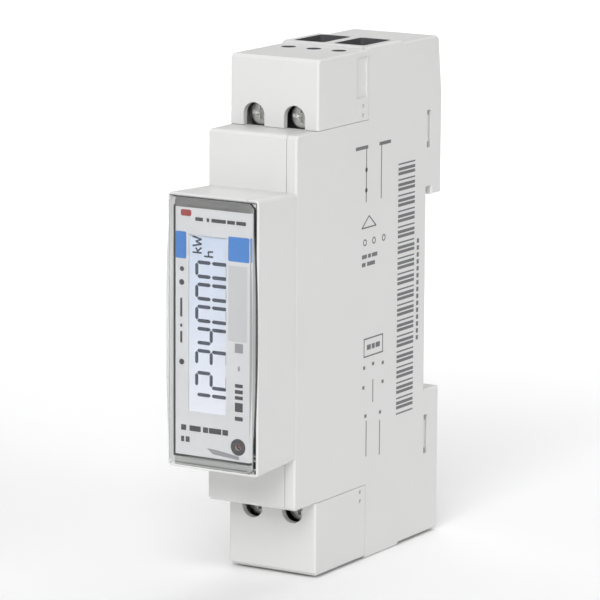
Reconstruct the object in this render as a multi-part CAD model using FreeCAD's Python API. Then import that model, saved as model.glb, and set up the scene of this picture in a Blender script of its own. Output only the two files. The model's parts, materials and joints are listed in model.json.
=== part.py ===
import FreeCAD, Part
import math
import os

# One-module electricity meter for a 35 mm rail, millimetres.
# Origin: centre of the rail seat.  +Z up, -Y out of the panel, +X to the reader's right.

# ---------------------------------------------------------------- driving dimensions
WIDTH = 17.6            # case width, one 18 mm module less play
WALL = 1.2              # case wall thickness
HALF = WIDTH / 2
INNER = HALF - WALL
TOP_Z = 46.1            # top of the upper terminal block
BOTTOM_Z = -44.0        # bottom of the lower terminal block
COLLAR_RISE = 0.5       # raised collar around the main wire openings
BLOCK_Y = -38.0         # front face of both terminal blocks
STEP_Y = -45.0          # front face of the middle step
STEP_TOP_Z = 33.9
STEP_BOTTOM_Z = -31.0
NOSE_Y = -57.4          # front rim of the nose
CAP_Y = -58.5           # front face of the clear cap
NOSE_TOP_Z = 24.7
NOSE_BOTTOM_Z = -22.6
NOSE_DRAFT = 0.5        # how much the nose narrows toward the case, top and bottom
NOSE_HALF = 9.0         # half width of the nose rim, a full 18 mm module
NOSE_INNER_Z = (NOSE_BOTTOM_Z + NOSE_DRAFT + WALL, NOSE_TOP_Z - NOSE_DRAFT - WALL)
NOSE_ROUND = 0.7        # rounding of the nose's four long corners
HOOK_Y = 5.0            # back face of the rail jaws
RAIL_HALF = 17.75       # half height of the rail notch
SEAT_HALF = 15.2        # half height of the raised rail seat
SEAT_RISE = 0.3         # seat pad height above the notch floor
JAW_SLOT = 1.55         # height of the slot behind the fixed upper jaw
JAW_SLOT_Y = 1.5
EDGE_ROUND = 0.4        # rounding of the long outer edges
SEAM = 0.04             # half of the visible gap between case pieces
FIT = 0.1               # gap between pieces that stay put

RIM_X = 6.8             # the side cover's rim reaches in to here on the middle step
COVER_BACK_Y = -21.0    # rear edge of the terminal covers

# main terminals
POLE_X = 4.05           # the two poles sit at plus and minus this
SCREW_RISE = 1.95       # screw axis height above the step
SCREW_HEAD_R = 2.3
SCREW_HEAD = (-35.5, -33.2)
SHANK_R = 1.95
SHANK_TIP_Y = -21.5
RUNNING = 0.06          # radial running clearance of the screw
COLLAR_WALL = (-32.9, -31.7)
CAGE_HALF_X = 3.2
CAGE_WALL_X = 0.8
CAGE_Y = (-24.9, -9.2)
CAGE_FRONT = 2.2
CAGE_REAR = 1.2
CAGE_RISE = (-0.65, 5.75)
BAR_Y = (-21.2, -19.9)
BAR_HALF_X = 2.1
BAR_RISE = 5.4
FLOOR_RISE = (-2.0, -1.0)
CELL_RISE = 6.4
CELL_BACK_Y = (-8.8, -7.8)
CELL_FRONT_Y = -36.7
PARTITION = 0.5
ENTRY_HALF_X = 3.1
ENTRY_Y = (-20.0, -10.4)
ACCESS_HALF = 2.1       # half width of the screw openings in the covers

# rail latch
CLIP_HALF_X = 4.5
CLIP_Y = (1.3, 3.7)
CLIP_Z = (-43.6, -15.9)
CHANNEL_GAP = 0.3
CLIP_WINDOW_HALF = 1.8
CLIP_WINDOW_Z = (-36.0, -22.0)
POST_HALF = 1.4
POST_Z = (-35.6, -34.0)
SPRING_R = 0.95
SPRING_WIRE = 0.22
GUIDE_HALF = 6.0
GUIDE_Y = -0.4

# boards and display
BOARD_HALF_X = 0.8
BOARD_Z = (-28.6, 31.5)
BOARD_BACK_Y = -2.2
DISPLAY_BOARD_Y = (-53.4, -52.4)
LABEL_Y = (-56.95, -56.75)
LABEL_Z = (NOSE_INNER_Z[0] + 0.6, NOSE_INNER_Z[1] - 0.6)
LCD_Y = (-56.7, -55.1)
BACKLIGHT_Y = (-55.0, -53.5)
LCD_X = (-5.4, 3.4)
LCD_Z = (-14.0, 19.0)
LCD_WINDOW_X = (-4.75, 2.75)
LCD_WINDOW_Z = (-12.6, 17.8)
CAP_HALF = 8.45
CAP_BULGE = 9.0
CAP_CHAMFER = 0.45
CAP_Z = (-22.0, 24.1)
CAP_SEAM = 0.18         # visible gap between the cap and the nose rim
LABEL_HALF = 7.5
LED_X = 5.2
LED_Z = -17.7
TOUCH_X = 6.1
TOUCH_Z = 16.0

# auxiliary terminals
AUX_PITCH = 5.08
AUX_Y = -25.0
AUX_R = 1.3

SIDES = {"left": -1, "right": 1}
LEVELS = {"upper": 1, "lower": -1}


# ---------------------------------------------------------------- helpers
def box(x, y, z):
    """A block from three (low, high) pairs."""
    size = [hi - lo for lo, hi in (x, y, z)]
    return Part.makeBox(size[0], size[1], size[2], FreeCAD.Vector(x[0], y[0], z[0]))


def around(centre, half):
    return (centre - half, centre + half)


def rod(radius, start, end):
    """A cylinder between two points."""
    a = FreeCAD.Vector(*start)
    run = FreeCAD.Vector(*end) - a
    return Part.makeCylinder(radius, run.Length, a, run)


def profile_face(points, x):
    """A face in the plane X = x from (y, z) points."""
    corners = [FreeCAD.Vector(x, y, z) for y, z in points]
    return Part.Face(Part.makePolygon(corners + corners[:1]))


def fuse_all(shapes):
    return shapes[0].multiFuse(shapes[1:]).removeSplitter() if len(shapes) > 1 else shapes[0]


def cut_all(shape, tools):
    return shape.cut(Part.makeCompound(tools))


def group(shapes):
    return Part.makeCompound(shapes)


def spring(radius, wire, low, high, turns, centre):
    """A coil along Z."""
    rise = high - low - 2 * wire
    path = Part.makeHelix(rise / turns, rise, radius)
    path.translate(FreeCAD.Vector(centre[0], centre[1], low + wire))
    start = FreeCAD.Vector(centre[0] + radius, centre[1], low + wire)
    ring = Part.Wire(Part.makeCircle(wire, start, FreeCAD.Vector(0, 1, 0)))
    return Part.Wire(path).makePipeShell([ring], True, True)


def step_z(level):
    return STEP_TOP_Z if level > 0 else STEP_BOTTOM_Z


def rises(level, low_high):
    """Heights above a terminal step, as a sorted Z pair."""
    return tuple(sorted(step_z(level) + level * h for h in low_high))


def end_z(level):
    return TOP_Z if level > 0 else BOTTOM_Z


# ---------------------------------------------------------------- case
def outline():
    """The case without its nose, seen from the side, as (y, z) points."""
    notch = -SEAT_RISE
    return [
        (HOOK_Y, BOTTOM_Z + 0.6), (HOOK_Y, -RAIL_HALF), (notch, -RAIL_HALF),
        (notch, RAIL_HALF + JAW_SLOT), (JAW_SLOT_Y, RAIL_HALF + JAW_SLOT),
        (JAW_SLOT_Y, RAIL_HALF), (HOOK_Y, RAIL_HALF), (HOOK_Y, 36.0), (3.8, TOP_Z - 0.5), (3.2, TOP_Z),
        (BLOCK_Y + 0.6, TOP_Z), (BLOCK_Y, TOP_Z - 0.6), (BLOCK_Y, STEP_TOP_Z),
        (STEP_Y + 0.5, STEP_TOP_Z), (STEP_Y, STEP_TOP_Z - 0.5),
        (STEP_Y, STEP_BOTTOM_Z + 0.5), (STEP_Y + 0.5, STEP_BOTTOM_Z),
        (BLOCK_Y, STEP_BOTTOM_Z), (BLOCK_Y, BOTTOM_Z + 0.6), (BLOCK_Y + 0.6, BOTTOM_Z),
        (HOOK_Y - 0.6, BOTTOM_Z),
    ]


def nose_section(y, half_x, z):
    """A rectangular wire in the plane Y = y."""
    corners = [(-half_x, z[0]), (half_x, z[0]), (half_x, z[1]), (-half_x, z[1])]
    points = [FreeCAD.Vector(x, y, level) for x, level in corners]
    return Part.makePolygon(points + points[:1])


def nose():
    """The front of the case that carries the display; it widens toward its rim."""
    root = nose_section(STEP_Y, HALF, (NOSE_BOTTOM_Z + NOSE_DRAFT, NOSE_TOP_Z - NOSE_DRAFT))
    rim = nose_section(NOSE_Y, NOSE_HALF, (NOSE_BOTTOM_Z, NOSE_TOP_Z))
    solid = Part.makeLoft([root, rim], True, True)
    corners = [e for e in solid.Edges if abs(e.Vertexes[0].Y - e.Vertexes[1].Y) > 1]
    solid = solid.makeFillet(NOSE_ROUND, corners)
    front = [e for e in solid.Edges if abs(e.CenterOfMass.y - NOSE_Y) < 0.001]
    return solid.makeFillet(0.25, front)


def entry_collars():
    """Raised lips around the main wire openings, top and bottom."""
    collars = []
    for level in LEVELS.values():
        z = sorted((end_z(level) - level * WALL / 2, end_z(level) + level * COLLAR_RISE))
        lip = box((-HALF, HALF), (COVER_BACK_Y + SEAM, CELL_BACK_Y[0] - 0.6), z)
        upright = [e for e in lip.Edges if abs(e.CenterOfMass.z - (end_z(level) + level * COLLAR_RISE)) < 0.01
                   and abs(e.Vertexes[0].X - e.Vertexes[1].X) < 0.01]
        collars.append(lip.makeChamfer(0.35, upright))
    return collars


def rounded_case():
    """The whole outer volume with its long edges rounded."""
    solid = profile_face(outline(), -HALF).extrude(FreeCAD.Vector(WIDTH, 0, 0))
    edges = [e for e in solid.Edges if abs(abs(e.CenterOfMass.x) - HALF) < 0.001]
    solid = solid.makeFillet(EDGE_ROUND, edges)
    pad = box((-HALF + EDGE_ROUND, HALF - EDGE_ROUND), (-SEAT_RISE - 0.2, 0), (-SEAT_HALF, SEAT_HALF))
    return fuse_all([solid, nose(), pad] + entry_collars())


def cavity():
    """The hollow inside the walls, less the latch guide."""
    inner = profile_face(outline(), -INNER).makeOffset2D(-WALL, 2)
    hollow = inner.extrude(FreeCAD.Vector(2 * INNER, 0, 0))
    hollow = hollow.fuse(box((-INNER, INNER), (NOSE_Y + 2, STEP_Y + WALL + 1), NOSE_INNER_Z))
    guide = box((-GUIDE_HALF, GUIDE_HALF), (GUIDE_Y, HOOK_Y), (BOTTOM_Z, -RAIL_HALF))
    return hollow.cut(guide)


def cover_zone(level, grow=0.0):
    """The region taken by a terminal cover."""
    far = end_z(level) + level * 5
    z = sorted((step_z(level) - level * grow, far))
    return box((-HALF - 1, HALF + 1), (BLOCK_Y - 1, COVER_BACK_Y + grow), z)


def entry_cutters():
    cutters = []
    for level in LEVELS.values():
        z = sorted((end_z(level) - level * 2, end_z(level) + level * 2))
        for side in SIDES.values():
            hole = box(around(side * POLE_X, ENTRY_HALF_X), ENTRY_Y, z)
            upright = [e for e in hole.Edges if abs(e.Vertexes[0].Z - e.Vertexes[1].Z) > 1]
            cutters.append(hole.makeFillet(0.6, upright))
    return cutters


WINDOWS = ((26.4, 33.1), (-29.4, -22.3))
WINDOW_Y = (-0.3, 0.9)


def latch_arms():
    """Arms of the shell whose ends show in the side cover's snap windows."""
    arms = []
    for low, high in WINDOWS:
        z = (low + 1.0, high - 1.0)
        arms.append(box((4.0, HALF - 0.3), (WINDOW_Y[0] + 0.2, WINDOW_Y[1] - 0.2), z))
        arms.append(box((4.0, 6.0), (0.0, HOOK_Y - WALL + 0.2), z))
    return arms


def side_half(case):
    """The part of the case that belongs to the side cover."""
    plate = case.common(box((INNER + SEAM, HALF + 1), (-70, 10), (-60, 60)))
    rim = case.common(box((RIM_X + SEAM, INNER + 0.2), (-70, COVER_BACK_Y - 15.2),
                          (STEP_BOTTOM_Z - 0.1, STEP_TOP_Z + 0.1)))
    return plate, rim


def side_cover(case, hollow):
    plate, rim = side_half(case)
    walls = rim.cut(hollow)
    cover = plate.fuse(walls)
    windows = [box((INNER - 1, HALF + 1), WINDOW_Y, z) for z in WINDOWS]
    zones = [cover_zone(level, SEAM) for level in LEVELS.values()]
    return cut_all(cover, windows + zones + [cap_rebate(), nose_mouth()])


def nose_mouth():
    """The opening in the front of the nose that the cap's legs enter."""
    return box((-INNER, INNER), (NOSE_Y - 1, NOSE_Y + 3), NOSE_INNER_Z)


def cap_rebate():
    """The shallow seat of the clear cap in the nose rim."""
    z = (CAP_Z[0] - CAP_SEAM, CAP_Z[1] + CAP_SEAM)
    return box(around(0, CAP_HALF + CAP_SEAM), (NOSE_Y - 1, NOSE_Y + 0.6), z)


def rail_channel():
    x = around(0, CLIP_HALF_X + CHANNEL_GAP)
    y = (CLIP_Y[0] - CHANNEL_GAP, CLIP_Y[1] + CHANNEL_GAP)
    run = box(x, y, (BOTTOM_Z - 5, -RAIL_HALF + 2))
    grip = box(around(0, 3.0), (CLIP_Y[1], HOOK_Y + 1), (BOTTOM_Z - 1, BOTTOM_Z + 4))
    return [run, grip]


def clip_post():
    """The stop post that the latch spring pushes from."""
    return box(around(0, POST_HALF), (CLIP_Y[0] - CHANNEL_GAP - 0.5, CLIP_Y[1] - 0.2), POST_Z)


def housing_shell(case, hollow):
    plate, rim = side_half(case)
    taken = [box((INNER - SEAM, HALF + 1), (-70, 10), (-60, 60)),
             box((RIM_X - SEAM, HALF + 1), (-70, COVER_BACK_Y - 15.2 + SEAM),
                 (STEP_BOTTOM_Z - 0.1, STEP_TOP_Z + 0.1)),
             hollow]
    zones = [cover_zone(level, SEAM) for level in LEVELS.values()]
    body = cut_all(case, taken + zones + entry_cutters() + [cap_rebate(), nose_mouth()])
    body = body.fuse(Part.makeCompound(latch_arms()))
    body = cut_all(body, rail_channel())
    return body.fuse(clip_post()).removeSplitter()


def screw_access(level):
    """Arched openings in a terminal cover that lead to the screws."""
    tools = []
    for side in SIDES.values():
        x = side * POLE_X
        axis = step_z(level) + level * SCREW_RISE
        tools.append(rod(ACCESS_HALF, (x, BLOCK_Y - 1, axis), (x, BLOCK_Y + 2, axis)))
        tools.append(box(around(x, ACCESS_HALF), (BLOCK_Y - 1, BLOCK_Y + 2),
                         sorted((axis, step_z(level) - level))))
    return tools


def cover_marks(level):
    """Shallow tongue outline and snap dimples on both sides of a terminal cover."""
    tools = []
    for side in SIDES.values():
        skin = sorted((side * (HALF - 0.25), side * (HALF + 1)))
        if level > 0:
            tools.append(box(skin, (-25.0, -21.7), (STEP_TOP_Z + 4.1, TOP_Z - 1.0)))
        for rise in (1.0, 2.6):
            z = step_z(level) + level * rise
            tools.append(rod(0.35, (side * (HALF - 0.5), -22.8, z), (side * (HALF + 1), -22.8, z)))
    return tools


def terminal_cover(case, hollow, level):
    body = case.common(cover_zone(level, -SEAM)).cut(hollow)
    tools = screw_access(level) + cover_marks(level)
    if level > 0:
        tools += [rod(AUX_R, (x, AUX_Y, TOP_Z - 2), (x, AUX_Y, TOP_Z + 1)) for x in aux_x()]
    return cut_all(body, tools)


# ---------------------------------------------------------------- main terminals
def carrier(level):
    """Insulating terminal body: floor, screw collar, partition and back wall."""
    x = around(0, INNER - FIT / 2)
    floor = box(x, (CELL_FRONT_Y, CELL_BACK_Y[1]), rises(level, FLOOR_RISE))
    collar = box(x, COLLAR_WALL, rises(level, (FLOOR_RISE[1], CELL_RISE)))
    partition = box(around(0, PARTITION), (CELL_FRONT_Y, CELL_BACK_Y[1]),
                    rises(level, (FLOOR_RISE[1], CELL_RISE)))
    back = box(x, CELL_BACK_Y, rises(level, (FLOOR_RISE[1], 10.5)))
    tools = []
    for side in SIDES.values():
        pole = side * POLE_X
        axis = step_z(level) + level * SCREW_RISE
        tools.append(rod(SHANK_R + RUNNING, (pole, COLLAR_WALL[0] - 1, axis),
                         (pole, COLLAR_WALL[1] + 1, axis)))
        tools.append(box(around(pole, BAR_HALF_X + FIT), (BAR_Y[0] - FIT, BAR_Y[1] + FIT),
                         rises(level, (-3, 0))))
    if level > 0:
        tools.append(box(around(0, RIBBON_HALF + FIT), (CELL_BACK_Y[0] - 1, CELL_BACK_Y[1] + 1),
                         rises(level, (7.0, 11))))
    return cut_all(fuse_all([floor, collar, partition, back]), tools)


def terminal_screw(level, side):
    """Captive clamping screw with a cross slot in its head."""
    pole = side * POLE_X
    axis = step_z(level) + level * SCREW_RISE
    head = rod(SCREW_HEAD_R, (pole, SCREW_HEAD[0], axis), (pole, SCREW_HEAD[1], axis))
    front = [e for e in head.Edges if abs(e.BoundBox.YMax - SCREW_HEAD[0]) < 0.001]
    head = head.makeChamfer(0.3, front)
    shank = rod(SHANK_R, (pole, SCREW_HEAD[1], axis), (pole, SHANK_TIP_Y - 0.4, axis))
    tip = Part.makeCone(SHANK_R, SHANK_R - 0.4, 0.4, FreeCAD.Vector(pole, SHANK_TIP_Y - 0.4, axis),
                        FreeCAD.Vector(0, 1, 0))
    slot = box(around(pole, 1.7), (SCREW_HEAD[0] - 1, SCREW_HEAD[0] + 1.0), around(axis, 0.4))
    cross = box(around(pole, 0.3), (SCREW_HEAD[0] - 1, SCREW_HEAD[0] + 1.3), around(axis, 1.2))
    return cut_all(fuse_all([head, shank, tip]), [slot, cross])


def terminal_cage(level, side):
    """Rising cage: a rectangular ring with the screw's thread in its front wall."""
    pole = side * POLE_X
    axis = step_z(level) + level * SCREW_RISE
    z = rises(level, CAGE_RISE)
    ring = box(around(pole, CAGE_HALF_X), CAGE_Y, z)
    upright = [e for e in ring.Edges if abs(e.Vertexes[0].Z - e.Vertexes[1].Z) > 1]
    ring = ring.makeFillet(0.6, upright)
    hollow = box(around(pole, CAGE_HALF_X - CAGE_WALL_X), (CAGE_Y[0] + CAGE_FRONT, CAGE_Y[1] - CAGE_REAR),
                 (z[0] - 1, z[1] + 1))
    bore = rod(SHANK_R + RUNNING, (pole, CAGE_Y[0] - 1, axis), (pole, CAGE_Y[0] + CAGE_FRONT + 0.5, axis))
    return cut_all(ring, [hollow, bore])


SHUNT_HALF_Z = 5.0


def bar(side, low, high):
    return box(around(side * POLE_X, BAR_HALF_X), BAR_Y, (low, high))


def line_bar_upper():
    return bar(-1, SHUNT_HALF_Z, STEP_TOP_Z + BAR_RISE)


def line_bar_lower():
    return bar(-1, STEP_BOTTOM_Z - BAR_RISE, -SHUNT_HALF_Z)


def neutral_bar():
    return bar(1, STEP_BOTTOM_Z - BAR_RISE, STEP_TOP_Z + BAR_RISE)


def current_shunt():
    """Resistance strip welded between the two line bars, waisted for trimming."""
    strip = bar(-1, -SHUNT_HALF_Z, SHUNT_HALF_Z)
    notch = rod(0.5, (-POLE_X - BAR_HALF_X, BAR_Y[0] - 1, 0), (-POLE_X - BAR_HALF_X, BAR_Y[1] + 1, 0))
    return strip.cut(notch)


def shunt_leads():
    inner_edge = -POLE_X + BAR_HALF_X
    middle = (BAR_Y[0] + BAR_Y[1]) / 2
    leads = []
    for z in (-SHUNT_HALF_Z - 1, SHUNT_HALF_Z + 1):
        leads.append(rod(0.35, (inner_edge, middle, z), (-BOARD_HALF_X, middle, z)))
    return group(leads)


def insulation_sheet():
    """Polyester strip on the board where the neutral bar passes."""
    return box((BOARD_HALF_X, BOARD_HALF_X + 0.25), (BAR_Y[0] - 2, BAR_Y[1] + 2), (-26.0, 28.0))


# ---------------------------------------------------------------- boards and display
def main_board():
    """Board standing on edge in the middle of the case, with a tongue into the nose."""
    points = [
        (BOARD_BACK_Y, BOARD_Z[0]), (BOARD_BACK_Y, BOARD_Z[1]), (STEP_Y + 2, BOARD_Z[1]),
        (STEP_Y + 2, 20.0), (DISPLAY_BOARD_Y[1] + FIT, 20.0), (DISPLAY_BOARD_Y[1] + FIT, -18.0),
        (STEP_Y + 2, -18.0), (STEP_Y + 2, BOARD_Z[0]),
    ]
    board = profile_face(points, -BOARD_HALF_X).extrude(FreeCAD.Vector(2 * BOARD_HALF_X, 0, 0))
    holes = [rod(1.2, (-2, y, z), (2, y, z)) for y, z in ((-39.5, 28.5), (-39.5, -25.5), (-5.0, 28.5))]
    return cut_all(board, holes)


def display_board():
    board = box(around(0, 6.8), DISPLAY_BOARD_Y, (-20.2, 22.2))
    upright = [e for e in board.Edges if abs(e.Vertexes[0].Y - e.Vertexes[1].Y) > 0.5]
    return board.makeFillet(0.8, upright)


HEADER_Z = (-6.0, 14.3)


def board_header():
    """Right-angle pin strip between the display board and the main board."""
    strip = box((BOARD_HALF_X, BOARD_HALF_X + 2.5), (DISPLAY_BOARD_Y[1], DISPLAY_BOARD_Y[1] + 2.5), HEADER_Z)
    pieces = [strip]
    for i in range(8):
        z = HEADER_Z[0] + 1.27 + i * 2.54
        pieces.append(box((BOARD_HALF_X, BOARD_HALF_X + 0.6),
                          (DISPLAY_BOARD_Y[1] + 2.5, DISPLAY_BOARD_Y[1] + 5.0), around(z, 0.3)))
    return fuse_all(pieces)


def lcd_glass():
    """Two bonded panes; the rear one is longer and carries the contacts."""
    middle = (LCD_Y[0] + LCD_Y[1]) / 2
    front = box((LCD_X[0], LCD_X[1] - 0.8), (LCD_Y[0], middle), LCD_Z)
    rear = box(LCD_X, (middle, LCD_Y[1]), LCD_Z)
    return front.fuse(rear).removeSplitter()


def lcd_backlight():
    return box((LCD_X[0] + 0.1, LCD_X[1] - 0.1), BACKLIGHT_Y, (LCD_Z[0] + 0.1, LCD_Z[1] - 0.1))


def lcd_frame():
    """Tray that holds the glass and the backlight on the display board."""
    outer = box((LCD_X[0] - 0.9, LCD_X[1] + 1.5), (LCD_Y[0], DISPLAY_BOARD_Y[0]),
                (LCD_Z[0] - 0.9, LCD_Z[1] + 0.9))
    inner = box((LCD_X[0] - FIT, LCD_X[1] + 0.7), (LCD_Y[0] - 1, DISPLAY_BOARD_Y[0] + 1),
                (LCD_Z[0] - FIT, LCD_Z[1] + FIT))
    return outer.cut(inner)


def lcd_pins():
    pins = []
    for i in range(12):
        z = LCD_Z[0] + 2.5 + i * 2.54
        pins.append(box((LCD_X[1] + 0.05, LCD_X[1] + 0.4), (LCD_Y[0] + 0.9, DISPLAY_BOARD_Y[0]),
                        around(z, 0.25)))
    return group(pins)


def pulse_led():
    base = rod(1.0, (LED_X, DISPLAY_BOARD_Y[0], LED_Z), (LED_X, LABEL_Y[1] + 0.9, LED_Z))
    dome = Part.makeSphere(0.8, FreeCAD.Vector(LED_X, LABEL_Y[1] + 0.9, LED_Z))
    return base.fuse(dome).removeSplitter()


def touch_spring():
    """Contact spring between the board and the back of the label."""
    low = DISPLAY_BOARD_Y[0]
    length = low - LABEL_Y[1] - 0.1
    coil = spring(0.55, 0.12, 0, length, 4, (0, 0))
    coil.rotate(FreeCAD.Vector(0, 0, 0), FreeCAD.Vector(1, 0, 0), 90)
    coil.translate(FreeCAD.Vector(TOUCH_X, low, TOUCH_Z))
    return coil


def face_label():
    plate = box(around(0, LABEL_HALF), LABEL_Y, LABEL_Z)
    window = box(LCD_WINDOW_X, (LABEL_Y[0] - 1, LABEL_Y[1] + 1), LCD_WINDOW_Z)
    eye = rod(0.5, (LED_X, LABEL_Y[0] - 1, LED_Z), (LED_X, LABEL_Y[1] + 1, LED_Z))
    return cut_all(plate, [window, eye])


def barrel_plate():
    """The proud front of the cap: straight ends, sides bowed outward between them."""
    low, high = CAP_Z
    middle = (low + high) / 2
    straight = 5.0
    corner = 0.8
    y = CAP_Y

    def point(x, z):
        return FreeCAD.Vector(x, y, z)

    edges = []
    for side in (1, -1):
        x = side * CAP_HALF
        ends = (low + straight, high - straight) if side > 0 else (high - straight, low + straight)
        start = low + corner if side > 0 else high - corner
        stop = high - corner if side > 0 else low + corner
        edges.append(Part.makeLine(point(x, start), point(x, ends[0])))
        bow = Part.Arc(point(x, ends[0]), point(side * CAP_BULGE, middle), point(x, ends[1]))
        edges.append(bow.toShape())
        edges.append(Part.makeLine(point(x, ends[1]), point(x, stop)))
        edges.append(Part.makeLine(point(x, stop), point(x - side * corner, stop + side * corner)))
        edges.append(Part.makeLine(point(x - side * corner, stop + side * corner),
                                   point(-x + side * corner, stop + side * corner)))
        edges.append(Part.makeLine(point(-x + side * corner, stop + side * corner), point(-x, stop)))
    return Part.Face(Part.Wire(edges))


def window_cap():
    """Clear cap: bowed front plate, seat, and a snap leg at the top and the bottom."""
    front = barrel_plate().extrude(FreeCAD.Vector(0, NOSE_Y - CAP_Y, 0))
    rim = [e for e in front.Edges if abs(e.CenterOfMass.y - CAP_Y) < 0.001]
    front = front.makeChamfer(CAP_CHAMFER, rim)
    seat = box(around(0, CAP_HALF), (NOSE_Y, LABEL_Y[0] - 0.05), CAP_Z)
    legs = [box(around(0, 5.0), (NOSE_Y, NOSE_Y + 3.0), (NOSE_INNER_Z[0] + FIT, LABEL_Z[0] - FIT)),
            box(around(0, 5.0), (NOSE_Y, NOSE_Y + 3.0), (LABEL_Z[1] + FIT, NOSE_INNER_Z[1] - FIT))]
    return fuse_all([front, seat] + legs)


# ---------------------------------------------------------------- parts on the main board
def film_capacitor():
    shape = box((-BOARD_HALF_X - 6.0, -BOARD_HALF_X), (-40.0, -28.0), (9.0, 27.0))
    return shape.makeFillet(0.5, shape.Edges)


def electrolytic_capacitor():
    can = rod(3.1, (-BOARD_HALF_X - 3.1, -34.0, -24.0), (-BOARD_HALF_X - 3.1, -34.0, -10.0))
    rims = [e for e in can.Edges if len(e.Vertexes) == 1]
    return can.makeFillet(0.5, rims)


def varistor():
    disc = rod(4.6, (-BOARD_HALF_X - 3.6, -33.0, 0.0), (-BOARD_HALF_X - 0.4, -33.0, 0.0))
    rims = [e for e in disc.Edges if len(e.Vertexes) == 1]
    disc = disc.makeFillet(1.0, rims)
    legs = [rod(0.35, (-BOARD_HALF_X - 1.2, -33.0, z), (-BOARD_HALF_X, -33.0, z)) for z in (-2.5, 2.5)]
    return fuse_all([disc] + legs)


CHIP_Y = -35.0
CHIP_Z = 6.0


def meter_chip():
    """Quad flat package with its row of leads on each side."""
    body = box((BOARD_HALF_X + 0.1, BOARD_HALF_X + 1.5), around(CHIP_Y, 4.0), around(CHIP_Z, 4.0))
    pieces = [body]
    foot = (BOARD_HALF_X, BOARD_HALF_X + 0.35)
    for i in range(8):
        offset = (i - 3.5) * 0.9
        pieces.append(box(foot, around(CHIP_Y, 4.9), around(CHIP_Z + offset, 0.2)))
        pieces.append(box(foot, around(CHIP_Y + offset, 0.2), around(CHIP_Z, 4.9)))
    return fuse_all(pieces)


def quartz_crystal():
    can = box((BOARD_HALF_X, BOARD_HALF_X + 3.4), (-41.0, -37.4), (-18.0, -8.0))
    long_edges = [e for e in can.Edges if abs(e.Vertexes[0].Z - e.Vertexes[1].Z) > 1]
    return can.makeFillet(1.4, long_edges)


def optocouplers():
    bodies = []
    for z in (17.0, 24.5):
        body = box((BOARD_HALF_X + 0.1, BOARD_HALF_X + 3.4), (-36.5, -30.0), around(z, 2.3))
        legs = [box((BOARD_HALF_X, BOARD_HALF_X + 1.6), (-37.6, -28.9), around(z + side * 1.27, 0.3))
                for side in (-1, 1)]
        bodies.append(fuse_all([body] + legs))
    return group(bodies)


def inductor():
    """Drum core with its winding between two flanges."""
    x = BOARD_HALF_X
    flanges = [rod(3.6, (x, -14.0, -18.0), (x + 0.9, -14.0, -18.0)),
               rod(3.6, (x + 4.6, -14.0, -18.0), (x + 5.5, -14.0, -18.0))]
    winding = rod(3.0, (x + 0.9, -14.0, -18.0), (x + 4.6, -14.0, -18.0))
    return fuse_all([flanges[0], winding, flanges[1]])


# ---------------------------------------------------------------- auxiliary terminals
AUX_BLOCK_Y = (-30.5, -21.6)
AUX_BLOCK_RISE = (6.8, 10.9)
RIBBON_HALF = 0.35
RIBBON_Z = (41.2, 44.2)
RIBBON_BACK_Y = -6.6


def aux_x():
    return [i * AUX_PITCH for i in (-1, 0, 1)]


def aux_terminal_block():
    """Push-in block with a round channel for each auxiliary wire."""
    z = rises(1, AUX_BLOCK_RISE)
    block = box(around(0, INNER - 0.2), AUX_BLOCK_Y, z)
    tools = [rod(AUX_R, (x, AUX_Y, z[0] + 0.6), (x, AUX_Y, z[1] + 1)) for x in aux_x()]
    depth = (AUX_Y + AUX_R - 0.4, AUX_BLOCK_Y[1] + 1)
    pockets = [box(around(x, 0.8), depth, (z[0] + 0.6, z[0] + 2.4)) for x in aux_x()]
    return cut_all(block, tools + pockets)


def aux_contacts():
    """A leaf contact beside each channel."""
    z = rises(1, AUX_BLOCK_RISE)
    leaves = []
    for x in aux_x():
        y = AUX_Y + AUX_R
        foot = box(around(x, 0.7), (y, AUX_BLOCK_Y[1]), (z[0] + 0.7, z[0] + 1.0))
        leaf = box(around(x, 0.7), (y, y + 0.3), (z[0] + 0.9, z[0] + 2.3))
        leaves.append(foot.fuse(leaf).removeSplitter())
    return group(leaves)


def aux_ribbon():
    """Flat cable from the auxiliary block, between the poles, down to the board."""
    over = box(around(0, RIBBON_HALF), (AUX_BLOCK_Y[1] + 0.05, RIBBON_BACK_Y + 3.0), RIBBON_Z)
    down = box(around(0, RIBBON_HALF), (RIBBON_BACK_Y, RIBBON_BACK_Y + 3.0), (BOARD_Z[1] + 0.05, RIBBON_Z[1]))
    return fuse_all([over, down])


def ribbon_connector():
    """Socket on the board's upper edge for the flat cable."""
    shell = box((BOARD_HALF_X, BOARD_HALF_X + 2.0), (RIBBON_BACK_Y - 1.0, BOARD_BACK_Y), (26.0, 31.0))
    return shell


# ---------------------------------------------------------------- rail latch
def din_clip():
    """Sliding latch: hooked tip, spring window and a slot for a screwdriver."""
    low, high = CLIP_Z
    points = [
        (CLIP_Y[0], low), (CLIP_Y[1], low),
        (CLIP_Y[1], high - 1.4), (CLIP_Y[0] + 0.9, high), (CLIP_Y[0], high),
    ]
    slab = profile_face(points, -CLIP_HALF_X).extrude(FreeCAD.Vector(2 * CLIP_HALF_X, 0, 0))
    window = box(around(0, CLIP_WINDOW_HALF), (CLIP_Y[0] - 1, CLIP_Y[1] + 1), CLIP_WINDOW_Z)
    slot = box(around(0, 2.0), (CLIP_Y[0] + 0.8, CLIP_Y[1] + 1), (low + 1.2, low + 2.6))
    return cut_all(slab, [window, slot])


def din_clip_spring():
    middle = (CLIP_Y[0] + CLIP_Y[1]) / 2
    return spring(SPRING_R, SPRING_WIRE, POST_Z[1] + 0.05, CLIP_WINDOW_Z[1] - 0.05, 7, (0, middle))


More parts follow.
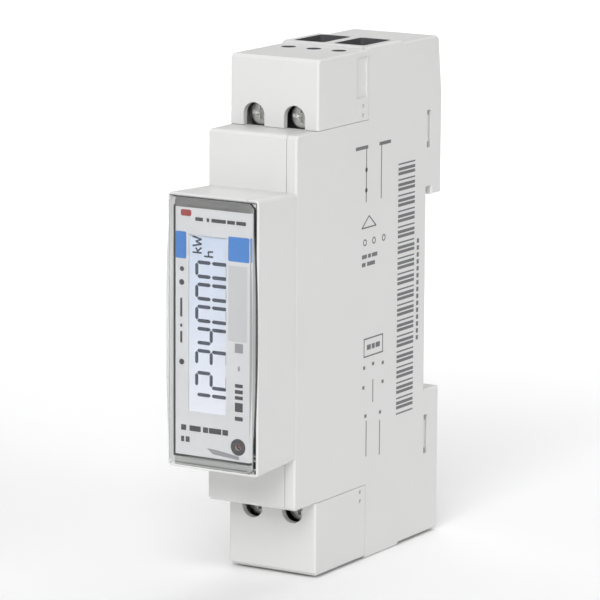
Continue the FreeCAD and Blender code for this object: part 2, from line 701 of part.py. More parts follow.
# ---------------------------------------------------------------- assembly
def build():
    case = rounded_case()
    hollow = cavity()
    parts = {
        "housing_shell": housing_shell(case, hollow),
        "side_cover": side_cover(case, hollow),
        "window_cap": window_cap(),
        "face_label": face_label(),
        "lcd_glass": lcd_glass(),
        "lcd_frame": lcd_frame(),
        "lcd_backlight": lcd_backlight(),
        "lcd_pins": lcd_pins(),
        "pulse_led": pulse_led(),
        "touch_spring": touch_spring(),
        "display_board": display_board(),
        "board_header": board_header(),
        "main_board": main_board(),
        "line_bar_upper": line_bar_upper(),
        "current_shunt": current_shunt(),
        "line_bar_lower": line_bar_lower(),
        "neutral_bar": neutral_bar(),
        "shunt_leads": shunt_leads(),
        "insulation_sheet": insulation_sheet(),
        "film_capacitor": film_capacitor(),
        "electrolytic_capacitor": electrolytic_capacitor(),
        "varistor": varistor(),
        "meter_chip": meter_chip(),
        "quartz_crystal": quartz_crystal(),
        "optocouplers": optocouplers(),
        "inductor": inductor(),
        "aux_terminal_block": aux_terminal_block(),
        "aux_contacts": aux_contacts(),
        "aux_ribbon": aux_ribbon(),
        "ribbon_connector": ribbon_connector(),
        "din_clip": din_clip(),
        "din_clip_spring": din_clip_spring(),
    }
    for level_name, level in LEVELS.items():
        parts[level_name + "_terminal_cover"] = terminal_cover(case, hollow, level)
        parts[level_name + "_terminal_carrier"] = carrier(level)
        for side_name, side in SIDES.items():
            place = level_name + "_" + side_name
            parts["terminal_screw_" + place] = terminal_screw(level, side)
            parts["terminal_cage_" + place] = terminal_cage(level, side)
    return parts


os.makedirs("parts", exist_ok=True)
for name, shape in build().items():
    shape.exportStep("parts/" + name + ".step")
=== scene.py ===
import json
import math

import bmesh
import bpy
from mathutils import Matrix, Vector


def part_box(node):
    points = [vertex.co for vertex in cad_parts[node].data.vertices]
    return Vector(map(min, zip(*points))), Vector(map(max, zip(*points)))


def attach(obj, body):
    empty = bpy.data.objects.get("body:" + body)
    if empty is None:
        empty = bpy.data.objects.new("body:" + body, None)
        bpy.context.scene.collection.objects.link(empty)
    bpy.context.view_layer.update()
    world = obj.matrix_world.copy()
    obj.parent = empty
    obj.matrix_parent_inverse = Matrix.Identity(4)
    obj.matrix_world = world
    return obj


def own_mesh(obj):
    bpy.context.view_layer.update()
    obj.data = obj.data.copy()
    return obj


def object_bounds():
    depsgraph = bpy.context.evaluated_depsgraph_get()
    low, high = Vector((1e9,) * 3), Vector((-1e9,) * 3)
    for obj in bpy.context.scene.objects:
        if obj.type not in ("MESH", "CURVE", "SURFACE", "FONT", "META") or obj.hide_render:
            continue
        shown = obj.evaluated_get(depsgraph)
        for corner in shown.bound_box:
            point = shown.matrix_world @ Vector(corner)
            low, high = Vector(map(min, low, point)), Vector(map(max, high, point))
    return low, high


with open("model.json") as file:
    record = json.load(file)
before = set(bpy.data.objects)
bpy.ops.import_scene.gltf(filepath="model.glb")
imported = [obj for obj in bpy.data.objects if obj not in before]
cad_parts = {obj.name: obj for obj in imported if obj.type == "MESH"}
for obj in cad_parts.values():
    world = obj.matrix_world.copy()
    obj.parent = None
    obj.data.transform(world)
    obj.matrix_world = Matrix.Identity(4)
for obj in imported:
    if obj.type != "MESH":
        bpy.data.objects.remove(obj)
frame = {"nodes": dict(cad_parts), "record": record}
size_at_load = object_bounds()
nodes = frame["nodes"]

MM = 0.001

# ---------------------------------------------------------------- driving values
# plain numbers are millimetres in the case's frame: X across, Y from the rail, Z from the rail's centreline
INK_DEPTH = 0.02 * MM            # thickness of printed ink
EDGE_WEAR = 0.12                 # rounding of sharp moulded edges
LABEL_EDGE = (-7.45, 7.45, -20.3, 22.4)     # x low and high, z low and high
DIGITS = "1234000"               # the counter's reading, bottom to top
DIGIT_PITCH = 3.79
FIRST_DIGIT_Z = -10.75
DIGIT_UP = 2.9                   # along X: the counter lies on its side
DIGIT_DOWN = 3.2                 # the lowest strokes hide behind the label's window
DIGIT_HALF_WIDE = 1.2
DIGIT_X = -0.35
UNIT_PLACES = (("k", -4.1, 14.8), ("W", -4.1, 15.9), ("h", -1.8, 14.3))   # letter, X of top, Z of left
UNIT_SCALE = 0.9
UNIT_STROKE = 0.3
STROKE = 0.62                    # width of the counter's strokes
STROKE_GAP = 0.09                # space left at each end of a stroke

PULSE_LAMP = (5.2, -17.7)        # X and Z of the pulse lamp
PULSE_RING = (0.52, 1.45)        # inner and outer radius of the ring printed round it
BAND_TOP = 1.1                   # painted shade strips round the label, standing for the cap's shaded rim: reach above it, below it, and the darker shade's start
BAND_BOTTOM = 1.65
SHADE_START = 1.25
BAND_OUT = (8.0, 8.4)            # X where the strips turn dark, and where they end
BAND_LIFT = 0.01                 # the strips lie this far in front of the label

SIDE_LINE = 0.24                 # width of the lines on the side
FRAME_Y = (-22.0, -15.3)         # outline box in the wiring sketch
FRAME_Z = (-8.1, -4.7)
BAR_UNIT = 0.27                  # bar pattern: thinnest stripe, depth range, heights of the first and last
BAR_Y = (-10.4, -4.5)
BAR_START = -20.4
BAR_STOP = 24.6
BAR_TOP = 25.0

# studio, in metres and watts
WORLD_LIGHT = 0.30               # how strongly the white surroundings light the object
FLOOR_REACH = 1.2                # as far as the lamps light it evenly
LAMP_AIM = (0.0, -0.03, 0.0)
LAMPS = (                        # name, place, size, power
    ("key", (-0.40, -0.60, 0.60), (0.5, 0.5), 0.5),
    ("front", (0.25, -0.75, 0.55), (0.5, 0.5), 5.7),
    ("low", (0.10, -1.00, 0.12), (0.5, 0.4), 0.4),
    ("right", (0.85, -0.10, 0.30), (0.4, 0.7), 1.75),
)
BACKDROP_PLACE = (-0.30, 0.55, 0.75)
BACKDROP_AIM = (-0.30, 0.60, 0.0)
BACKDROP_SIZE = (1.0, 0.9)
BACKDROP_POWER = 4.0
BACKDROP_SPREAD = math.radians(100)

POLE_X = 4.05                    # wire entries, whose walls get painted shade: centre, half width, depth range, heights of their walls
ENTRY_HALF_X = 3.1
ENTRY_Y = (-20.0, -10.4)
ENTRY_Z = (-42.6, 44.5)
AUX_X = (-5.08, 0.0, 5.08)       # auxiliary wire holes, whose walls get painted shade
AUX_Y = -25.0
AUX_R = 1.3
WALL_SLACK = 0.05                # how near a face's centre lies to a hole's wall to count as the wall
UPRIGHT = 0.5                    # a wall's normal leans less than this toward Z

# camera: aimed at a point in the case, from the right and a little above
CAMERA_TARGET = Vector((0.0, -26.5, 1.3)) * MM
CAMERA_AZIMUTH = math.radians(31.14)
CAMERA_ELEVATION = math.radians(10.77)
CAMERA_ROLL = math.radians(0.35)
CAMERA_DISTANCE = 710.0 * MM
CAMERA_SIDESTEP = -1.33 * MM
CAMERA_LIFT = 0.76 * MM
CAMERA_LENS = 243.9
CAMERA_CLIP = (0.05, 20.0)       # metres
SENSOR = 36.0


# ---------------------------------------------------------------- materials
class Graph:
    """A material's node tree with short ways to add and wire nodes."""

    def __init__(self, name):
        self.material = bpy.data.materials.new(name)
        self.material.use_nodes = True
        self.nodes = self.material.node_tree.nodes
        self.links = self.material.node_tree.links
        self.nodes.clear()
        self.output = self.nodes.new("ShaderNodeOutputMaterial")
        self.shader = self.nodes.new("ShaderNodeBsdfPrincipled")
        self.links.new(self.shader.outputs[0], self.output.inputs[0])
        self.coords = self.nodes.new("ShaderNodeTexCoord").outputs["Object"]

    def add(self, kind, inputs=None, **settings):
        node = self.nodes.new(kind)
        for key, value in settings.items():
            setattr(node, key, value)
        for key, value in (inputs or {}).items():
            if isinstance(value, bpy.types.NodeSocket):
                self.links.new(value, node.inputs[key])
            else:
                node.inputs[key].default_value = value
        return node

    def set(self, **values):
        for key, value in values.items():
            socket = self.shader.inputs[key.replace("_", " ")]
            if isinstance(value, bpy.types.NodeSocket):
                self.links.new(value, socket)
            else:
                socket.default_value = value

    def stretched(self, scale):
        """Object coordinates in units of the given sizes in millimetres."""
        factor = [1.0 / (s * MM) for s in scale]
        return self.add("ShaderNodeVectorMath", {0: self.coords, 1: factor}, operation="MULTIPLY").outputs[0]

    def noise(self, scale, detail=3.0, rough=0.55):
        node = self.add("ShaderNodeTexNoise", {"Vector": self.stretched(scale), "Scale": 1.0,
                                               "Detail": detail, "Roughness": rough})
        return node.outputs["Fac"]

    def spread(self, value, low, high, source=(0.3, 0.7)):
        """Maps a noise value to a range."""
        node = self.add("ShaderNodeMapRange", {"Value": value, "From Min": source[0], "From Max": source[1],
                                               "To Min": low, "To Max": high})
        return node.outputs[0]

    def mix(self, factor, a, b):
        node = self.add("ShaderNodeMix", data_type="RGBA")
        for key, value in (("Factor", factor), ("A", a), ("B", b)):
            socket = [s for s in node.inputs if s.name == key and s.enabled][0]
            if isinstance(value, bpy.types.NodeSocket):
                self.links.new(value, socket)
            else:
                socket.default_value = value
        return [s for s in node.outputs if s.enabled][0]

    def worn_edges(self, radius):
        """Normals that round every sharp edge by a radius in millimetres."""
        return self.add("ShaderNodeBevel", {"Radius": radius * MM}, samples=6).outputs[0]

    def bump(self, height, depth, strength=1.0, below=None):
        """A bump of the given depth in millimetres, stacked on another if given."""
        inputs = {"Height": height, "Distance": depth * MM, "Strength": strength}
        if below is not None:
            inputs["Normal"] = below
        return self.add("ShaderNodeBump", inputs).outputs[0]


def shade(color, factor):
    return tuple(min(1.0, c * factor) for c in color) + (1.0,)


def plastic(name, color, rough=0.48, grain=0.16, depth=0.006, tone=0.03, coat=0.0, subsurface=0.0):
    """Moulded plastic: spark-eroded grain, slow tone drift, handling polish."""
    g = Graph(name)
    drift = g.noise((14, 14, 14), 2)
    fine = g.noise((grain, grain, grain), 2, 0.7)
    polish = g.noise((5, 5, 9), 4)
    base = g.mix(g.spread(drift, 0, 1), shade(color, 1 - tone), shade(color, 1 + tone))
    speck = g.mix(g.spread(fine, 0, 0.35), base, shade(color, 1 - 3 * tone))
    g.set(Base_Color=speck, Roughness=g.spread(polish, rough - 0.06, rough + 0.06), IOR=1.5,
          Normal=g.bump(fine, depth, 0.6, g.worn_edges(EDGE_WEAR)), Coat_Weight=coat, Coat_Roughness=0.12)
    if subsurface:
        g.set(Subsurface_Weight=subsurface, Subsurface_Radius=(1.0, 0.9, 0.8), Subsurface_Scale=0.4 * MM)
    return g.material


def metal(name, color, rough=0.32, brush=(0.05, 2.5, 0.05), depth=0.003, stain=0.12):
    """Bare or plated metal: drawn streaks, tarnish, tiny pits."""
    g = Graph(name)
    streak = g.noise(brush, 3, 0.6)
    tarnish = g.noise((2.2, 2.2, 2.2), 4, 0.6)
    pits = g.noise((0.12, 0.12, 0.12), 2, 0.6)
    base = g.mix(g.spread(tarnish, 0, 1), shade(color, 1 - stain), shade(color, 1 + stain / 2))
    height = g.bump(streak, depth, 0.7, g.worn_edges(EDGE_WEAR))
    g.set(Base_Color=base, Metallic=1.0, Roughness=g.spread(streak, rough - 0.08, rough + 0.1),
          Normal=g.bump(pits, depth, 0.4, height))
    return g.material


def board(name):
    """Printed board: green mask over raised copper tracks, with vias."""
    g = Graph(name)
    grid = g.stretched((2.54, 2.54, 2.54))
    tracks = g.add("ShaderNodeTexBrick", {"Vector": grid, "Scale": 1.0, "Mortar Size": 0.06, "Bias": 0.2,
                                          "Color1": (1, 1, 1, 1), "Color2": (0.6, 0.6, 0.6, 1),
                                          "Mortar": (0, 0, 0, 1), "Brick Width": 0.9, "Row Height": 0.35})
    cells = g.add("ShaderNodeTexVoronoi", {"Vector": grid, "Scale": 0.6, "Randomness": 0.6})
    vias = g.add("ShaderNodeMath", {0: cells.outputs["Distance"], 1: 0.14}, operation="LESS_THAN").outputs[0]
    mask = g.mix(tracks.outputs["Fac"], (0.012, 0.10, 0.045, 1), (0.03, 0.19, 0.085, 1))
    base = g.mix(vias, mask, (0.62, 0.60, 0.55, 1))
    weave = g.noise((0.35, 0.35, 0.35), 2)
    height = g.bump(tracks.outputs["Fac"], 0.03, 0.6)
    g.set(Base_Color=base, Metallic=g.spread(vias, 0, 0.9, (0, 1)), Roughness=g.spread(weave, 0.28, 0.42),
          Normal=g.bump(weave, 0.01, 0.3, height), Coat_Weight=0.3)
    return g.material


def clear_cap(name):
    """Clear moulded cap: polished, faint flow lines, lets light through to the face."""
    g = Graph(name)
    flow = g.noise((6, 6, 30), 2)
    scuff = g.noise((0.8, 0.8, 0.8), 3)
    g.set(Base_Color=(0.97, 0.975, 0.98, 1), Roughness=g.spread(scuff, 0.0, 0.045), IOR=1.5,
          Transmission_Weight=1.0, Normal=g.bump(flow, 0.01, 0.06))
    clear = g.add("ShaderNodeBsdfTransparent", {"Color": (0.93, 0.935, 0.94, 1)})
    path = g.add("ShaderNodeLightPath")
    through = g.add("ShaderNodeMixShader", {"Fac": path.outputs["Is Shadow Ray"]})
    g.links.new(g.shader.outputs[0], through.inputs[1])
    g.links.new(clear.outputs[0], through.inputs[2])
    g.links.new(through.outputs[0], g.output.inputs[0])
    return g.material


def film(name, color, rough=0.36, metallic=0.0, tone=0.03):
    """Printed film: satin lacquer with a fine sparkle."""
    g = Graph(name)
    sparkle = g.noise((0.09, 0.09, 0.09), 1)
    drift = g.noise((9, 9, 16), 2)
    base = g.mix(g.spread(drift, 0, 1), shade(color, 1 - tone), shade(color, 1 + tone))
    g.set(Base_Color=g.mix(g.spread(sparkle, 0, 0.25), base, shade(color, 1.12)), Metallic=metallic,
          Roughness=g.spread(drift, rough - 0.04, rough + 0.05), Normal=g.bump(sparkle, 0.003, 0.35))
    return g.material


def display(name):
    """Reflective display: pale polariser, bluer toward its top, with a fine cell pattern behind it."""
    g = Graph(name)
    haze = g.noise((7, 7, 11), 2)
    cells = g.noise((0.25, 0.25, 0.25), 1)
    height = g.add("ShaderNodeSeparateXYZ", {0: g.coords}).outputs["Z"]
    rise = g.spread(height, 0.0, 1.0, (-12.0 * MM, 18.0 * MM))
    tint = g.mix(rise, (0.64, 0.65, 0.69, 1), (0.46, 0.53, 0.64, 1))
    base = g.mix(g.spread(haze, 0, 0.35), tint, (0.58, 0.62, 0.70, 1))
    g.set(Base_Color=base, Roughness=g.spread(cells, 0.16, 0.24), Coat_Weight=0.6, Coat_Roughness=0.04,
          Normal=g.bump(cells, 0.002, 0.2))
    return g.material


def floor_paint(name):
    g = Graph(name)
    tone = g.noise((160, 160, 160), 2)
    g.set(Base_Color=g.mix(g.spread(tone, 0, 1), (0.90, 0.90, 0.90, 1), (0.93, 0.93, 0.93, 1)), Roughness=0.7)
    return g.material


case_grey = plastic("case_grey", (0.70, 0.70, 0.695), rough=0.46, tone=0.012, subsurface=0.04)
insulator = plastic("insulator_dark", (0.09, 0.09, 0.095), rough=0.5, tone=0.05)
latch_plastic = plastic("latch_plastic", (0.055, 0.056, 0.06), rough=0.42, tone=0.05)
frame_black = plastic("frame_black", (0.02, 0.02, 0.022), rough=0.45, tone=0.08)
diffuser = plastic("diffuser_white", (0.82, 0.84, 0.86), rough=0.35, grain=0.4, tone=0.02)
chip_black = plastic("chip_black", (0.018, 0.018, 0.018), rough=0.55, grain=0.08, tone=0.1)
capacitor_box = plastic("capacitor_box", (0.62, 0.40, 0.04), rough=0.3, tone=0.05, coat=0.3)
capacitor_sleeve = plastic("capacitor_sleeve", (0.015, 0.02, 0.06), rough=0.25, tone=0.1, coat=0.5)
varistor_coat = plastic("varistor_coat", (0.02, 0.09, 0.30), rough=0.28, tone=0.1, coat=0.6)
ferrite = plastic("ferrite", (0.05, 0.045, 0.045), rough=0.6, grain=0.1, tone=0.15)
ribbon_grey = plastic("ribbon_grey", (0.30, 0.31, 0.33), rough=0.4, grain=0.5, tone=0.06)
led_red = plastic("led_red", (0.16, 0.008, 0.008), rough=0.12, tone=0.05, coat=1.0)
polyester = film("polyester_film", (0.70, 0.62, 0.30), rough=0.18)
label_silver = film("label_silver", (0.54, 0.545, 0.55), rough=0.34, metallic=0.12)
spring_steel = metal("spring_steel", (0.55, 0.55, 0.53), rough=0.25)
tinned = metal("tinned_metal", (0.70, 0.70, 0.68), rough=0.28, stain=0.08)
screw_steel = metal("screw_steel", (0.86, 0.86, 0.84), rough=0.36, brush=(1.2, 0.05, 0.05))
cage_nickel = metal("cage_nickel", (0.64, 0.61, 0.54), rough=0.34)
copper = metal("copper", (0.78, 0.40, 0.24), rough=0.3, stain=0.2)
brass = metal("brass", (0.76, 0.58, 0.26), rough=0.28)
shunt_alloy = metal("shunt_alloy", (0.52, 0.46, 0.38), rough=0.42, stain=0.2)
board_green = board("board_green")
cap_clear = clear_cap("clear_cap")
display_glass = display("display_glass")
ink_black = film("ink_black", (0.018, 0.018, 0.02), rough=0.5, tone=0.1)
grey_ink_and_painted_shade = film("grey_ink_and_painted_shade", (0.22, 0.22, 0.23), rough=0.5, tone=0.08)
# grey print, also used for a wedge of painted shade on the face
ink_pale = film("ink_pale", (0.44, 0.44, 0.445), rough=0.4, tone=0.03)
ink_blue = film("ink_blue", (0.02, 0.15, 0.44), rough=0.35, tone=0.08)
ink_red = film("ink_red", (0.26, 0.02, 0.016), rough=0.4, tone=0.08)
# painted shade for the cap's rim round the label: a lighter strip on the left, darker strips, deepest shade
painted_shade_band = film("painted_shade_band", (0.27, 0.275, 0.265), rough=0.4, tone=0.06)
painted_shade_band_light = film("painted_shade_band_light", (0.42, 0.42, 0.415), rough=0.4, tone=0.04)
painted_shade_dark = film("painted_shade_dark", (0.13, 0.13, 0.125), rough=0.5, tone=0.08)
ink_mark = film("ink_mark", (0.15, 0.15, 0.16), rough=0.55, tone=0.1)
lcd_ink = film("lcd_ink", (0.022, 0.032, 0.055), rough=0.3, tone=0.08)

SLOT_MATERIALS = {
    "case_grey": case_grey, "clear_cap": cap_clear, "label_silver": label_silver,
    "display_glass": display_glass, "frame_black": frame_black, "diffuser_white": diffuser,
    "tinned_metal": tinned, "led_red": led_red,
    "spring_steel": spring_steel, "board_green": board_green, "copper": copper, "shunt_alloy": shunt_alloy,
    "polyester_film": polyester, "capacitor_box": capacitor_box, "capacitor_sleeve": capacitor_sleeve,
    "varistor_coat": varistor_coat, "chip_black": chip_black, "ferrite": ferrite, "insulator_dark": insulator,
    "brass": brass, "ribbon_grey": ribbon_grey, "latch_plastic": latch_plastic, "screw_steel": screw_steel,
    "cage_nickel": cage_nickel,
}


def paint_shade_in_wire_entries():
    """Painted shade: the walls inside the wire entries and auxiliary holes get the dark insulating plastic,
    standing for the shade inside them.
    """
    for name in ("housing_shell", "side_cover"):
        mesh = nodes[name].data
        mesh.materials.append(insulator)
        for face in mesh.polygons:
            x, y, z = (v / MM for v in face.center)
            across = abs(abs(x) - POLE_X) < ENTRY_HALF_X + WALL_SLACK
            along = ENTRY_Y[0] - WALL_SLACK < y < ENTRY_Y[1] + WALL_SLACK
            if across and along and not ENTRY_Z[0] < z < ENTRY_Z[1] and abs(face.normal.z) < UPRIGHT:
                # painted shade on the wire entries' walls
                face.material_index = 1
    mesh = nodes["upper_terminal_cover"].data
    mesh.materials.append(insulator)
    for face in mesh.polygons:
        x, y, z = (v / MM for v in face.center)
        if z > ENTRY_Z[1] and min(math.hypot(x - a, y - AUX_Y) for a in AUX_X) < AUX_R + WALL_SLACK:
            # painted shade on the auxiliary holes' walls
            face.material_index = 1


def dress_cad_nodes():
    """Gives every CAD node its material."""
    for row in frame["record"]["subparts"]:
        piece = nodes[row["node"]]
        piece.data.materials.clear()
        piece.data.materials.append(SLOT_MATERIALS[row["material_slot"]])


def compress_latch_spring():
    """Gives the latch spring its own copy of its mesh."""
    spring = nodes["din_clip_spring"]
    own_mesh(spring)


# ---------------------------------------------------------------- printed marks, and painted shade round the face label
def rect(u0, u1, v0, v1):
    return [(u0, v0), (u1, v0), (u1, v1), (u0, v1)]


def disc(u, v, ru, rv=None, count=28):
    rv = ru if rv is None else rv
    return [(u + ru * math.cos(2 * math.pi * i / count), v + rv * math.sin(2 * math.pi * i / count))
            for i in range(count)]


def rounded(u0, u1, v0, v1, r, count=5):
    """A rectangle with round corners."""
    points = []
    corners = ((u1 - r, v0 + r, -90), (u1 - r, v1 - r, 0), (u0 + r, v1 - r, 90), (u0 + r, v0 + r, 180))
    for cu, cv, start in corners:
        for i in range(count + 1):
            a = math.radians(start + 90 * i / count)
            points.append((cu + r * math.cos(a), cv + r * math.sin(a)))
    return points


def line(a, b, width):
    """A straight stroke with square ends."""
    run = Vector((b[0] - a[0], b[1] - a[1]))
    side = Vector((-run.y, run.x)).normalized() * width / 2
    return [(a[0] - side.x, a[1] - side.y), (b[0] - side.x, b[1] - side.y),
            (b[0] + side.x, b[1] + side.y), (a[0] + side.x, a[1] + side.y)]


def arc_band(u, v, r0, r1, start, stop, count=24):
    """Quads that follow an arc between two radii."""
    quads = []
    for i in range(count):
        a = math.radians(start + (stop - start) * i / count)
        b = math.radians(start + (stop - start) * (i + 1) / count)
        inner_a, outer_a = [(u + r * math.cos(a), v + r * math.sin(a)) for r in (r0, r1)]
        inner_b, outer_b = [(u + r * math.cos(b), v + r * math.sin(b)) for r in (r0, r1)]
        quads.append([inner_a, outer_a, outer_b, inner_b])
    return quads


def front_plane(y):
    """Maps (x, z) and a lift toward the reader to space."""
    return lambda u, v, lift: Vector((u * MM, y * MM - lift, v * MM))


def right_plane(x):
    """Maps (y, z) and a lift away from the right side to space."""
    return lambda u, v, lift: Vector((x * MM + lift, u * MM, v * MM))


def printed(name, shapes, place, material, body="case"):
    """Thin solid shapes of ink, or of painted shade, lying on a flat surface."""
    mesh = bpy.data.meshes.new(name)
    bm = bmesh.new()
    for shape in shapes:
        back = [bm.verts.new(place(u, v, 0.0)) for u, v in shape]
        front = [bm.verts.new(place(u, v, INK_DEPTH)) for u, v in shape]
        bm.faces.new(front)
        bm.faces.new(back[::-1])
        for i in range(len(shape)):
            j = (i + 1) % len(shape)
            bm.faces.new((back[i], back[j], front[j], front[i]))
    bmesh.ops.recalc_face_normals(bm, faces=bm.faces)
    bm.to_mesh(mesh)
    bm.free()
    piece = bpy.data.objects.new(name, mesh)
    bpy.context.scene.collection.objects.link(piece)
    mesh.materials.append(material)
    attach(piece, body)
    return piece


# seven-segment strokes as (side, along) pairs in digit units: X is down the digit, Z is its width
SEGMENTS = {
    "a": ((-1, -1), (-1, 1)), "b": ((-1, 1), (0, 1)), "c": ((0, 1), (1, 1)), "d": ((1, -1), (1, 1)),
    "e": ((0, -1), (1, -1)), "f": ((-1, -1), (0, -1)), "g": ((0, -1), (0, 1)),
}
LIT = {"0": "abcdef", "1": "bc", "2": "abged", "3": "abgcd", "4": "fgbc", "5": "afgcd", "6": "afgedc",
       "7": "abc", "8": "abcdefg", "9": "abcdfg"}


def segment(a, b, width):
    """A stroke with pointed ends, shortened so neighbours don't touch."""
    run = Vector((b[0] - a[0], b[1] - a[1]))
    along = run.normalized()
    side = Vector((-along.y, along.x)) * width / 2
    gap = along * STROKE_GAP
    point = along * (width / 2)
    a = Vector(a) + gap
    b = Vector(b) - gap
    corners = [a, a + point - side, b - point - side, b, b - point + side, a + point + side]
    return [(c.x, c.y) for c in corners]


def counter_digits():
    shapes = []
    for i, digit in enumerate(DIGITS):
        middle = FIRST_DIGIT_Z + i * DIGIT_PITCH
        for key in LIT[digit]:
            ends = [(DIGIT_X + down * (DIGIT_DOWN if down > 0 else DIGIT_UP), middle + DIGIT_HALF_WIDE * wide)
                    for down, wide in SEGMENTS[key]]
            shapes.append(segment(ends[0], ends[1], STROKE))
    return shapes


def unit_letters():
    """The energy unit beside the counter, lying on its side like the digits, in two rows."""
    strokes = {
        "k": (((0, 0), (2, 0)), ((1.3, 0), (0.7, 0.9)), ((1.15, 0.3), (2, 1.0))),
        "W": (((0, 0), (2, 0.45)), ((2, 0.45), (0.7, 0.9)), ((0.7, 0.9), (2, 1.35)), ((2, 1.35), (0, 1.8))),
        "h": (((0, 0), (2, 0)), ((1.0, 0.05), (0.9, 0.9)), ((0.9, 0.9), (2, 0.95))),
    }
    shapes = []
    for letter, top, low in UNIT_PLACES:
        for a, b in strokes[letter]:
            ends = [(top + UNIT_SCALE * p[0], low + UNIT_SCALE * p[1]) for p in (a, b)]
            shapes.append(line(ends[0], ends[1], UNIT_STROKE))
    return shapes


def dashes(start, stop, centre, height, gaps, along="u"):
    """A row of solid bars standing for a line of print."""
    shapes = []
    at = start
    span = stop - start
    total = sum(a + b for a, b in gaps)
    for bar, gap in gaps:
        length = span * bar / total
        end = at + length
        low, high = centre - height / 2, centre + height / 2
        shapes.append(rect(at, end, low, high) if along == "u" else rect(low, high, at, end))
        at = end + span * gap / total
    return shapes


def face_prints():
    """Marks on the face label, all plain shapes, with strips and lines of painted shade round the label and a
    grey wedge of painted shade.
    """
    label_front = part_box("face_label")[0].y / MM
    glass_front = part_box("lcd_glass")[0].y / MM
    face = front_plane(label_front)
    blue = [rounded(-7.3, -5.2, 13.6, 18.2, 0.25), rounded(3.15, 7.3, 14.0, 18.2, 0.25)]
    printed("print_blue_fields", blue, face, ink_blue)
    printed("print_red_mark", [rounded(-6.3, -4.2, 20.9, 22.0, 0.35)], face, ink_red)
    dark = [disc(-6.05, 11.8, 0.42), disc(-6.1, 9.5, 0.5), disc(-6.1, -4.2, 0.5)]
    dark += dashes(-3.4, 6.6, 20.55, 0.62, ((1.6, 0.8), (0.5, 0.5), (3.0, 0.3), (1.6, 0.3), (2.0, 0)))
    dark += dashes(-6.2, 3.2, -15.5, 0.95, ((0.9, 0.6), (2.0, 0.4), (0.9, 0.15), (2.2, 0.2), (1.0, 0)))
    dark += dashes(-6.2, -4.5, -17.5, 0.95, ((0.7, 0.35), (0.9, 0)))
    for low, high in ((-13.15, -12.45), (-11.6, -10.05), (-9.5, -8.9), (-8.5, -7.85), (-7.45, -6.85)):
        dark.append(rect(4.55, 6.1, low, high))
    dark += dashes(-0.9, 6.8, -6.2, 0.42, ((1.9, 0.7), (0.5, 1.2), (3.1, 0)), "v")
    printed("print_dark_marks", dark, face, ink_black)
    ring = arc_band(*PULSE_LAMP, *PULSE_RING, 0, 360, 36)
    printed("print_pulse_ring", ring, face, ink_black)
    # grey print marks, and a five-cornered grey wedge of painted shade below the pulse lamp
    printed("print_grey_marks_and_shade", [rect(4.5, 6.1, -1.5, 0.1), rect(5.1, 5.5, -4.6, -3.8),
                                 [(-1.0, -18.6), (0.2, -19.5), (5.4, -19.9), (5.4, -19.3), (1.0, -18.7)]],
            face, grey_ink_and_painted_shade)
    printed("print_pale_panel", [rounded(3.2, 6.9, 0.4, 13.3, 0.2)], face, ink_pale)
    # painted shade: strips round the label stand for the cap's shaded rim, lighter on the left, darker to the
    # right, above and below
    band_plane = front_plane(label_front - BAND_LIFT)
    left, right, low, high = LABEL_EDGE
    bottom, shade, top = low - BAND_BOTTOM, low - SHADE_START, high + BAND_TOP
    turn, end = BAND_OUT
    printed("painted_shade_cap_band_light", [rect(-end, left, bottom, top)], band_plane, painted_shade_band_light)
    printed("painted_shade_cap_band", [rect(right, turn, bottom, top), rect(left, right, shade, low)],
            band_plane, painted_shade_band)
    printed("painted_shade_cap_dark", [rect(turn, end, bottom, top), rect(left, right, high, top),
                                rect(left, right, bottom, shade)], band_plane, painted_shade_dark)
    # painted shadow lines along the label's left and bottom edges
    line_plane = front_plane(label_front - BAND_LIFT - INK_DEPTH / MM)
    printed("painted_shade_cap_line", [rect(left - 0.28, left + 0.12, low - 0.3, high + 0.3),
                               rect(left + 0.12, right, low - 0.3, low + 0.1)], line_plane, painted_shade_dark)
    printed("counter_digits", counter_digits(), front_plane(glass_front), lcd_ink)
    printed("counter_unit", unit_letters(), front_plane(glass_front), lcd_ink)


def side_prints():
    """Wiring sketch and bar pattern on the right side of the case."""
    side = right_plane(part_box("upper_terminal_cover")[1].x / MM)
    thin = SIDE_LINE
    marks = [rect(-25.3, -21.1, 28.9, 29.5), rect(-17.2, -13.2, 28.9, 29.5)]
    for y, low, high in ((-21.6, 19.5, 28.9), (-16.4, 19.5, 28.9), (-20.9, -25.9, -19.5),
                         (-16.2, -26.5, -20.2), (-18.7, -16.5, -12.4)):
        marks.append(rect(y - thin / 2, y + thin / 2, low, high))
    marks += [disc(-21.6, 25.2, 0.42), disc(-21.6, 21.6, 0.42)]
    corners = ((-23.0, 15.0), (-18.1, 15.0), (-20.55, 17.0))
    marks += [line(corners[i], corners[(i + 1) % 3], thin) for i in range(3)]
    for y in (-21.9, -18.8, -15.4):
        marks += arc_band(y, 12.4, 0.38, 0.62, 0, 360, 20)
    marks += dashes(-22.9, -17.6, 9.9, 0.7, ((2, 0.5), (1.2, 0.4), (2.2, 0)))
    marks += dashes(-22.9, -18.4, 8.5, 0.7, ((1.1, 0.5), (2.4, 0)))
    (front, back), (low, high) = FRAME_Y, FRAME_Z
    marks += [rect(front, back, high - thin, high), rect(front, back, low, low + thin),
              rect(front, front + thin, low, high), rect(back - thin, back, low, high)]
    marks += dashes(-20.9, -16.4, (low + high) / 2, 0.9, ((1.2, 0.3), (0.9, 0.3), (1.3, 0)))
    for y, z in ((-21.8, -9.9), (-18.7, -9.6), (-15.3, -10.0), (-22.0, -13.4), (-15.3, -13.4),
                 (-21.2, -18.6), (-16.1, -18.8)):
        marks.append(rect(y - 0.35, y + 0.35, z - 0.3, z + 0.3))
    printed("print_wiring_sketch", marks, side, ink_mark)
    printed("print_bar_pattern", bar_pattern(), side, ink_mark)
    column = dashes(-7.9, 10.9, -3.2, 0.75, tuple((0.8, 0.45) for _ in range(15)), "v")
    printed("print_side_column", column, side, ink_mark)


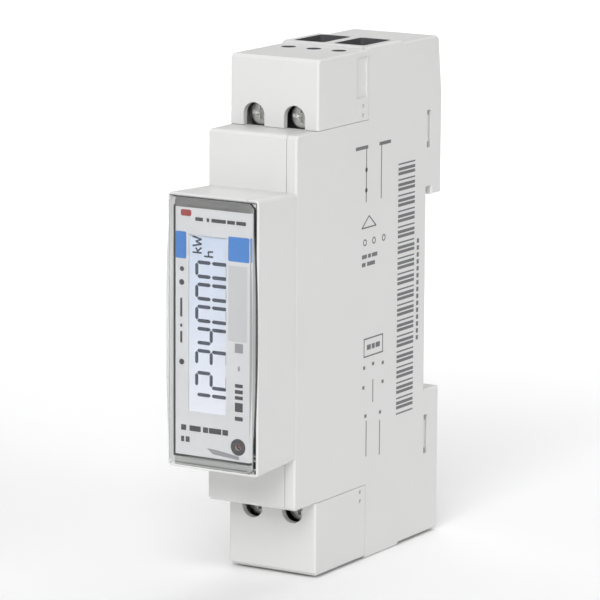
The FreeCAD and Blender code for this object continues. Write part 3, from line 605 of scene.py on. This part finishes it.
def bar_pattern():
    """Stripes of one or two units by a simple repeating rule; they encode nothing."""
    shapes = []
    z = BAR_START
    step = 0
    while z < BAR_STOP:
        wide = BAR_UNIT * (1 + (step * step + 3 * step) % 3)
        gap = BAR_UNIT * (1 + (step * 7 + 2) % 3 * 0.8)
        shapes.append(rect(*BAR_Y, z, min(z + wide, BAR_TOP)))
        z += wide + gap
        step += 1
    return shapes


# ---------------------------------------------------------------- studio
def area_light(name, place, aim, size, power):
    data = bpy.data.lights.new(name, "AREA")
    data.shape = "RECTANGLE"
    data.size, data.size_y = size
    data.energy = power
    lamp = bpy.data.objects.new(name, data)
    bpy.context.scene.collection.objects.link(lamp)
    lamp.location = place
    lamp.rotation_euler = (Vector(aim) - Vector(place)).to_track_quat("-Z", "Y").to_euler()
    return lamp


def studio():
    scene = bpy.context.scene
    low = size_at_load[0].z
    floor_mesh = bpy.data.meshes.new("floor")
    reach = FLOOR_REACH
    corners = [(x, y, low) for x, y in rect(-reach, reach, -reach, reach)]
    floor_mesh.from_pydata(corners, [], [(0, 1, 2, 3)])
    floor = bpy.data.objects.new("floor", floor_mesh)
    floor_mesh.materials.append(floor_paint("floor_paint"))
    scene.collection.objects.link(floor)

    world = bpy.data.worlds.new("studio")
    world.use_nodes = True
    background = world.node_tree.nodes["Background"]
    background.inputs["Color"].default_value = (1.0, 1.0, 1.0, 1.0)
    seen = world.node_tree.nodes.new("ShaderNodeLightPath").outputs["Is Camera Ray"]
    level = world.node_tree.nodes.new("ShaderNodeMath")
    level.operation = "MULTIPLY_ADD"
    level.inputs[1].default_value = 1.0 - WORLD_LIGHT
    level.inputs[2].default_value = WORLD_LIGHT
    world.node_tree.links.new(seen, level.inputs[0])
    world.node_tree.links.new(level.outputs[0], background.inputs["Strength"])
    scene.world = world

    for name, place, size, power in LAMPS:
        area_light(name, place, LAMP_AIM, size, power)
    backdrop = area_light("backdrop", BACKDROP_PLACE, BACKDROP_AIM, BACKDROP_SIZE, BACKDROP_POWER)
    backdrop.data.spread = BACKDROP_SPREAD

    scene.view_settings.view_transform = "Standard"
    scene.view_settings.look = "None"
    scene.view_settings.exposure = 0.0
    scene.view_settings.gamma = 1.0


def camera():
    back = Vector((math.sin(CAMERA_AZIMUTH) * math.cos(CAMERA_ELEVATION),
                   -math.cos(CAMERA_AZIMUTH) * math.cos(CAMERA_ELEVATION), math.sin(CAMERA_ELEVATION)))
    level = Vector((math.cos(CAMERA_AZIMUTH), math.sin(CAMERA_AZIMUTH), 0.0))
    up = back.cross(level)
    data = bpy.data.cameras.new("camera")
    data.sensor_width = SENSOR
    data.lens = CAMERA_LENS
    data.clip_start, data.clip_end = CAMERA_CLIP
    cam = bpy.data.objects.new("camera", data)
    bpy.context.scene.collection.objects.link(cam)
    right = level * math.cos(CAMERA_ROLL) + up * math.sin(CAMERA_ROLL)
    top = up * math.cos(CAMERA_ROLL) - level * math.sin(CAMERA_ROLL)
    place = CAMERA_TARGET + back * CAMERA_DISTANCE + level * CAMERA_SIDESTEP + up * CAMERA_LIFT
    turn = Matrix((right, top, back)).transposed().to_4x4()
    cam.matrix_world = Matrix.Translation(place) @ turn
    bpy.context.scene.camera = cam


dress_cad_nodes()
# painted shade inside the wire entries and auxiliary holes
paint_shade_in_wire_entries()
compress_latch_spring()
face_prints()
side_prints()
studio()
camera()
